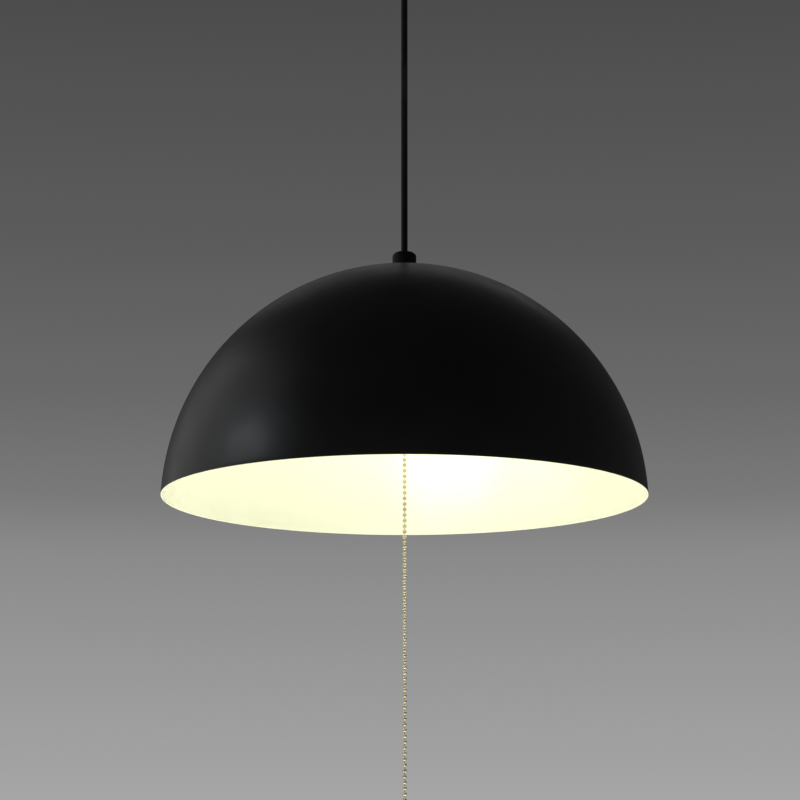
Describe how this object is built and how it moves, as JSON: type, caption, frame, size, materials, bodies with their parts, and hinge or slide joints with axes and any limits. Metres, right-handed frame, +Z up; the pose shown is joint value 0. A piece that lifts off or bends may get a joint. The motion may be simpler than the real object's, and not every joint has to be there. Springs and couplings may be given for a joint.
{
  "type": "pendant ceiling light",
  "caption": "Domed metal pendant lamp hanging on a black cord from a small canopy, with a screw-base bulb and a pull-chain switch.",
  "frame": {"origin": "the point where the lamp's axis meets the ceiling, in the plane of the canopy's open rim and the bracket's upper face", "axes": "+Z up into the ceiling along the lamp's axis; the pull-chain switch is on the -Y side; +X to the right seen from the chain's side"},
  "size_m": [0.3799, 0.38, 0.755],
  "materials": {
    "zinc_steel": "zinc plated",
    "black_enamel": "satin black outside, white enamel inside",
    "canopy_black": "satin black",
    "black_screw": "black oxide",
    "black_plastic": "matt black",
    "cord_black": "black PVC sheath",
    "white_plastic": "white nylon",
    "holder_white": "moulded phenolic, off-white",
    "brown_pvc": "smooth",
    "blue_pvc": "smooth",
    "brass": "bright drawn",
    "chain_brass": "champagne plated",
    "bronze": "phosphor bronze strip",
    "phenolic": "reddish brown phenolic",
    "nickel": "nickel plated",
    "vitrite": "black cap glass",
    "frosted_glass": "frosted white",
    "clear_glass": "clear",
    "filament": "yellow phosphor coated"
  },
  "bodies": {
    "ceiling_set": {"ceiling_bracket": "zinc_steel", "canopy": "canopy_black", "canopy_screws": "black_screw", "terminal_block": "white_plastic", "terminal_tubes": "brass", "terminal_screws": "zinc_steel", "lead_live": "brown_pvc", "lead_neutral": "blue_pvc", "cord_clamp": "white_plastic", "clamp_screws": "zinc_steel", "cord_grip": "black_plastic", "grip_nut": "zinc_steel", "grip_screw": "black_screw", "cord_stub": "cord_black"},
    "pendant": {"suspension_cord": "cord_black", "cord_cap": "black_plastic", "cap_screw": "black_screw", "cord_collet": "white_plastic", "threaded_nipple": "brass", "shade": "black_enamel", "crown_washer": "zinc_steel", "shade_nut": "zinc_steel", "holder_cap": "holder_white", "holder_body": "holder_white", "holder_leads": "brown_pvc", "holder_terminals": "brass", "screw_shell": "brass", "shell_rivets": "brass", "centre_contact": "brass", "retaining_ring": "holder_white", "switch_housing": "holder_white", "housing_screws": "zinc_steel", "chain_guide": "brass", "switch_axle": "zinc_steel", "contact_blades": "bronze", "return_spring": "zinc_steel"},
    "drum": {"pull_drum": "white_plastic", "drum_beads": "chain_brass"},
    "rotor": {"contact_rotor": "phenolic"},
    "chain_top": {"chain_tail": "chain_brass"},
    "chain": {"pull_chain": "chain_brass", "chain_connector": "chain_brass", "pull_knob": "black_plastic"},
    "bulb_contact": {"contact_button": "nickel"},
    "bulb": {"cap_insulator": "vitrite", "bulb_cap": "nickel", "bulb_glass": "frosted_glass", "bulb_stem": "clear_glass", "bulb_filaments": "filament"}
  },
  "joints": [
    {"name": "pendant_swing", "type": "hinge", "parent": "ceiling_set", "child": "pendant", "pos_m": [0, 0, -0.049], "axis": [0, 1, 0], "range_deg": [-25, 25]},
    {"name": "chain_pull", "type": "slide", "parent": "pendant", "child": "chain_top", "axis": [0, 0, -1], "range_m": [0, 0.008], "stiffness_N_per_m": 600, "springref_m": -0.006},
    {"name": "chain_swing", "type": "hinge", "parent": "chain_top", "child": "chain", "pos_m": [0, -0.036, -0.35418], "axis": [0, 1, 0], "range_deg": [-25, 25]},
    {"name": "drum_turn", "type": "hinge", "parent": "pendant", "child": "drum", "pos_m": [0, -0.03, -0.33618], "axis": [1, 0, 0], "range_deg": [0, 76.5]},
    {"name": "rotor_turn", "type": "hinge", "parent": "pendant", "child": "rotor", "pos_m": [0, -0.03, -0.33618], "axis": [1, 0, 0], "range_deg": [0, 45.1]},
    {"name": "bulb_slide", "type": "slide", "parent": "pendant", "child": "bulb_contact", "axis": [0, 0, -1], "range_m": [0, 0.02908]},
    {"name": "bulb_turn", "type": "hinge", "parent": "bulb_contact", "child": "bulb", "pos_m": [0, 0, -0.4], "axis": [0, 0, 1], "range_deg": [0, 2880]}
  ],
  "couplings": [
    {"joint": "drum_turn", "follows": "chain_pull", "rad_per_m": 166.67},
    {"joint": "rotor_turn", "follows": "chain_pull", "rad_per_m": 98.175},
    {"joint": "bulb_slide", "follows": "bulb_turn", "m_per_rad": 0.00057757}
  ]
}
